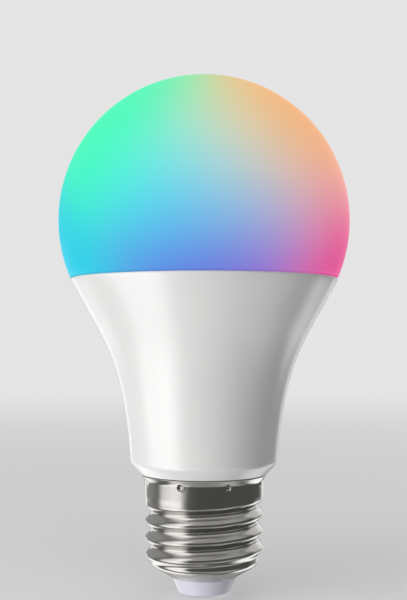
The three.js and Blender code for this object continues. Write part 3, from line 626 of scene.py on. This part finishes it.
# For each slot: roughness, metallic, mottling per metre and how much darker its dark tone is.
FINISHES = {
    "thermal_pad": (0.85, 0.0, 2500, 0.20),
    "clear_sealant": (0.30, 0.0, 250, 0.06),
    "screw_steel": (0.30, 1.0, 2500, 0.15),
    "can_sleeve": (0.30, 0.0, 400, 0.20),
    "film_box": (0.38, 0.0, 700, 0.10),
    "blue_epoxy": (0.25, 0.0, 500, 0.18),
    "resistor_body": (0.40, 0.0, 1500, 0.18),
    "resistor_sleeve": (0.60, 0.0, 800, 0.10),
    "ferrite": (0.80, 0.0, 4000, 0.35),
    "bobbin": (0.55, 0.0, 1200, 0.20),
    "tape": (0.45, 0.0, 300, 0.14),
    "chip": (0.60, 0.0, 5000, 0.30),
    "tin_can": (0.28, 1.0, 600, 0.08),
    "antenna_gold": (0.30, 1.0, 1500, 0.12),
    "header_black": (0.50, 0.0, 1500, 0.22),
    "socket_white": (0.50, 0.0, 900, 0.07),
    "live_insulation": (0.45, 0.0, 600, 0.14),
    "neutral_insulation": (0.45, 0.0, 600, 0.22),
}
LED_FRAME = (0.9, 0.91, 0.89)
LED_WINDOW_DEPTH = 0.1  # millimetres below the frame's top at which the window begins
WIRE_PITCH = 0.35  # millimetres from turn to turn of the choke's winding
REPLACED = {"diffuser_dome", "housing_shell", "screw_shell", "cap_insulator", "centre_contact"}


def darker(colour, share):
    """A colour with that share of its light taken away."""
    return tuple(c * (1 - share) for c in colour)


def mottled(slot, colour):
    """A moulded, dipped or plated part in two close tones, with gloss and relief to match."""
    roughness, metallic, scale, share = FINISHES[slot]
    material, nodes, shader = new_material(slot, colour, roughness, metallic)
    mottle = nodes.noise(nodes.position(), scale, detail=4)
    nodes.put(shader.inputs["Base Color"], nodes.mix(mottle, darker(colour, share), colour))
    gloss = nodes.smooth(mottle, 0.2, 0.8, roughness * 0.8, roughness * 1.2)
    nodes.put(shader.inputs["Roughness"], gloss)
    nodes.put(shader.inputs["Normal"], nodes.bump(mottle, 0.1, 0.00005))
    return material


def drawn_metal(slot, colour):
    """Sheet aluminium with drawing marks that run up and down it."""
    material, nodes, shader = new_material(slot, colour, 0.42, 1.0)
    marks = nodes.noise(nodes.scaled(nodes.position(), (2600, 2600, 90)), 1, detail=4)
    nodes.put(shader.inputs["Base Color"], nodes.mix(marks, darker(colour, 0.16), colour))
    nodes.put(shader.inputs["Roughness"], nodes.smooth(marks, 0.3, 0.7, 0.34, 0.5))
    nodes.put(shader.inputs["Normal"], nodes.bump(marks, 0.12, 0.00004))
    return material


def solder_mask(slot, colour):
    """Solder mask over square-cut areas of copper, which show through as a lighter tone."""
    material, nodes, shader = new_material(slot, colour, 0.35)
    place = nodes.position()
    values = {"Vector": place, "Scale": 340.0}
    cells = nodes.add("ShaderNodeTexVoronoi", values, distance="CHEBYCHEV").outputs["Color"]
    copper = nodes.smooth(nodes.add("ShaderNodeSeparateColor", {0: cells}).outputs[0], 0.47, 0.5)
    grain = nodes.noise(place, 4200, detail=2)
    over_copper = nodes.mix(grain, darker(colour, 0.04), colour)
    over_glass = nodes.mix(grain, darker(colour, 0.13), darker(colour, 0.09))
    nodes.put(shader.inputs["Base Color"], nodes.mix(copper, over_glass, over_copper))
    nodes.put(shader.inputs["Roughness"], nodes.smooth(grain, 0.2, 0.8, 0.3, 0.42))
    nodes.put(shader.inputs["Normal"], nodes.bump(copper, 0.2, 0.00003))
    return material


def led_window(slot, colour, piece):
    """A white moulded frame round a recessed window of grainy phosphor or clear resin."""
    material, nodes, shader = new_material(slot, colour, 0.35)
    place = nodes.position()
    height = nodes.add("ShaderNodeSeparateXYZ", {0: place}).outputs[2]
    normal = nodes.add("ShaderNodeNewGeometry").outputs["Normal"]
    upward = nodes.add("ShaderNodeSeparateXYZ", {0: normal}).outputs[2]
    top = max(vertex.co.z for vertex in piece.data.vertices)
    depth = LED_WINDOW_DEPTH * MM
    recess = nodes.smooth(height, top - depth, top - 0.5 * depth, 1.0, 0.0)
    window = nodes.math("MULTIPLY", recess, nodes.math("GREATER_THAN", upward, 0.5))
    grain = nodes.noise(place, 9000, detail=3)
    phosphor = nodes.mix(grain, darker(colour, 0.15), colour)
    frame_tone = nodes.mix(grain, darker(LED_FRAME, 0.06), LED_FRAME)
    nodes.put(shader.inputs["Base Color"], nodes.mix(window, frame_tone, phosphor))
    nodes.put(shader.inputs["Roughness"], nodes.smooth(grain, 0.2, 0.8, 0.3, 0.42))
    nodes.put(shader.inputs["Normal"], nodes.bump(grain, 0.1, 0.00003))
    return material


def wound_wire(slot, colour):
    """Enamelled wire laid turn beside turn along the choke's axis, which lies across the board."""
    material, nodes, shader = new_material(slot, colour, 0.3, 1.0)
    place = nodes.position()
    along = nodes.add("ShaderNodeSeparateXYZ", {0: place}).outputs[1]
    turns = nodes.math("SINE", nodes.math("MULTIPLY", along, 2 * math.pi / (WIRE_PITCH * MM)))
    groove = nodes.smooth(turns, -1.0, -0.2)
    grain = nodes.noise(place, 2200, detail=3)
    lit = nodes.mix(grain, darker(colour, 0.1), colour)
    # Painted shade: the base colour is darkened in the grooves between turns.
    nodes.put(shader.inputs["Base Color"], nodes.mix(groove, darker(colour, 0.55), lit))
    nodes.put(shader.inputs["Roughness"], nodes.smooth(grain, 0.2, 0.8, 0.24, 0.36))
    nodes.put(shader.inputs["Normal"], nodes.bump(groove, 0.5, 0.00008))
    return material


def carried_finish(slot, colour, piece):
    """The material that a slot's kind of part is made of."""
    if slot == "heat_sink":
        return drawn_metal(slot, colour)
    if slot.endswith("_board"):
        return solder_mask(slot, colour)
    if slot.endswith("_led"):
        return led_window(slot, colour, piece)
    if slot == "copper_wire":
        return wound_wire(slot, colour)
    return mottled(slot, colour)


def finish_carried():
    """One finish per material slot, on every CAD node that no fine surface stands in for."""
    materials = frame["record"]["materials"]
    colours = {entry["slot"]: tuple(entry["base_color"][:3]) for entry in materials}
    made = {}
    for entry in frame["record"]["subparts"]:
        node, slot = entry["node"], entry["material_slot"]
        if node in REPLACED:
            continue
        piece = frame["nodes"][node]
        if slot not in made:
            made[slot] = carried_finish(slot, colours[slot], piece)
        piece.data.materials.clear()
        piece.data.materials.append(made[slot])


finish_carried()


# ---- Stage, light and camera -----------------------------------------------------------------

FLOOR_R = 3.0  # metres
FLOOR_FADE = 0.05, 0.9  # metres from the axis over which the floor melts into the backdrop
BACKDROP = (0.78, 0.78, 0.78)


def floor():
    """A pale disc that melts into the backdrop as it runs away from the bulb."""
    bpy.ops.mesh.primitive_circle_add(vertices=96, radius=FLOOR_R, fill_type="NGON")
    disc = bpy.context.object
    disc.name = "floor"
    material, nodes, shader = new_material("floor", (0.8, 0.8, 0.8), 0.8)
    place = nodes.position()
    grain = nodes.noise(place, 3, detail=2)
    tone = nodes.mix(grain, (0.79, 0.79, 0.795), (0.82, 0.82, 0.815))
    nodes.put(shader.inputs["Base Color"], tone)
    nodes.put(shader.inputs["Specular IOR Level"], 0.1)
    far = nodes.smooth(nodes.vector("LENGTH", place, output=1), *FLOOR_FADE, 0.4, 1.0)
    glow = nodes.add("ShaderNodeEmission", {"Color": BACKDROP}).outputs[0]
    blend = nodes.add("ShaderNodeMixShader", {0: far, 1: shader.outputs[0], 2: glow}).outputs[0]
    nodes.put(material.node_tree.nodes["Material Output"].inputs["Surface"], blend)
    disc.data.materials.append(material)
    disc.visible_glossy = disc.visible_diffuse = disc.visible_shadow = False


floor()


# Soft boxes that the bulb mirrors: azimuth round it (0 towards the camera, + to the camera's
# right), half width, lowest and highest elevation and softness of the edges, all in degrees, and
# brightness.
SOFT_BOXES = {
    "key": (-65, 26, -12, 60, 9, 0.85),
    "key_heart": (-56, 14, -12, 60, 10, 0.30),
    "key_foot": (-69, 26, -60, -12, 7, 1.35),
    "behind_left": (-142, 38, -14, 50, 16, 0.26),
    "rim_left": (-147, 17, -68, -16, 9, 1.10),
    "rim_strip_left": (-154, 7, -14, -1, 4, 1.00),
    "behind_right": (164, 26, -14, 20, 7, 0.40),
    "rim_right_high": (144, 30, 4, 78, 7, 0.60),
    "rim_right": (138, 17, -54, -16, 6, 1.40),
    "rim_strip_right": (156, 7, -14, -1, 4, 0.80),
    "behind_low": (-172, 28, -100, -22, 20, 0.33),
    "low_front": (10, 85, -78, -44, 8, 0.27),
    "low_right": (80, 18, -80, -28, 8, 0.24),
    "high_front": (20, 85, 28, 68, 8, 0.34),
}
ROOM_LIGHT = 0.09

# Soft lights that brighten the bulb but are not mirrored in it: azimuth in degrees, height,
# distance and size in metres, and power in watts.
SOFT_LIGHTS = {
    "key_light": (-48, -0.35, 0.7, 0.45, 3.2),
    "top_light": (-15, 0.9, 0.4, 0.8, 2.3),
    "fill_light": (24, 0.10, 0.9, 0.6, 1.35),
}


def studio():
    """The soft boxes as the bulb mirrors them, and the plain backdrop as the camera sees it."""
    world = bpy.data.worlds.new("studio")
    bpy.context.scene.world = world
    world.use_nodes = True
    nodes = Nodes(world.node_tree)
    direction = nodes.add("ShaderNodeTexCoord").outputs["Generated"]
    height = nodes.add("ShaderNodeSeparateXYZ", {0: direction}).outputs[2]
    elevation = nodes.math("DEGREES", nodes.math("ARCSINE", height))
    total = ROOM_LIGHT
    for azimuth, half, low, high, soft, brightness in SOFT_BOXES.values():
        a = math.radians(azimuth)
        ahead = nodes.vector("DOT_PRODUCT", direction, (math.sin(a), -math.cos(a), 0), output=1)
        aside = nodes.vector("DOT_PRODUCT", direction, (math.cos(a), math.sin(a), 0), output=1)
        away = nodes.math("DEGREES", nodes.math("ABSOLUTE", nodes.math("ARCTAN2", aside, ahead)))
        box = nodes.smooth(away, half - soft, half + soft, brightness, 0.0)
        over_low = nodes.smooth(elevation, low - soft, low + soft)
        under_high = nodes.smooth(elevation, high - soft, high + soft, 1.0, 0.0)
        box = nodes.math("MULTIPLY", nodes.math("MULTIPLY", box, over_low), under_high)
        total = nodes.math("ADD", total, box)
    background = world.node_tree.nodes["Background"]
    lit = nodes.add("ShaderNodeCombineColor", {0: total, 1: total, 2: total}).outputs[0]
    seen = nodes.add("ShaderNodeLightPath").outputs["Is Camera Ray"]
    nodes.put(background.inputs["Color"], nodes.mix(seen, lit, BACKDROP))


studio()


def soft_lights():
    target = Vector((0, 0, CROWN * MM / 2))
    for name, (azimuth, height, distance, size, power) in SOFT_LIGHTS.items():
        data = bpy.data.lights.new(name, "AREA")
        data.size, data.energy = size, power
        lamp = bpy.data.objects.new(name, data)
        a = math.radians(azimuth)
        lamp.location = (distance * math.sin(a), -distance * math.cos(a), height)
        lamp.rotation_euler = (target - lamp.location).to_track_quat("-Z", "Y").to_euler()
        lamp.visible_camera = lamp.visible_glossy = False
        bpy.context.scene.collection.objects.link(lamp)


soft_lights()


# The camera's place, tilt and lens are rounded from a least-squares fit to the bulb's outline.
CAMERA_AT = (-0.13, -230.57, 55.8)  # millimetres
CAMERA_TILT = 2.173  # degrees above level
LENS, SENSOR = 62.34, 36


def camera():
    data = bpy.data.cameras.new("camera")
    data.lens, data.sensor_width = LENS, SENSOR
    seat = bpy.data.objects.new("camera", data)
    seat.location = [c * MM for c in CAMERA_AT]
    seat.rotation_euler = (math.radians(90 + CAMERA_TILT), 0, 0)
    data.clip_start, data.clip_end = 0.01, 50
    bpy.context.scene.collection.objects.link(seat)
    bpy.context.scene.camera = seat


camera()

scene = bpy.context.scene
scene.view_settings.view_transform = "Standard"
scene.view_settings.look = "None"
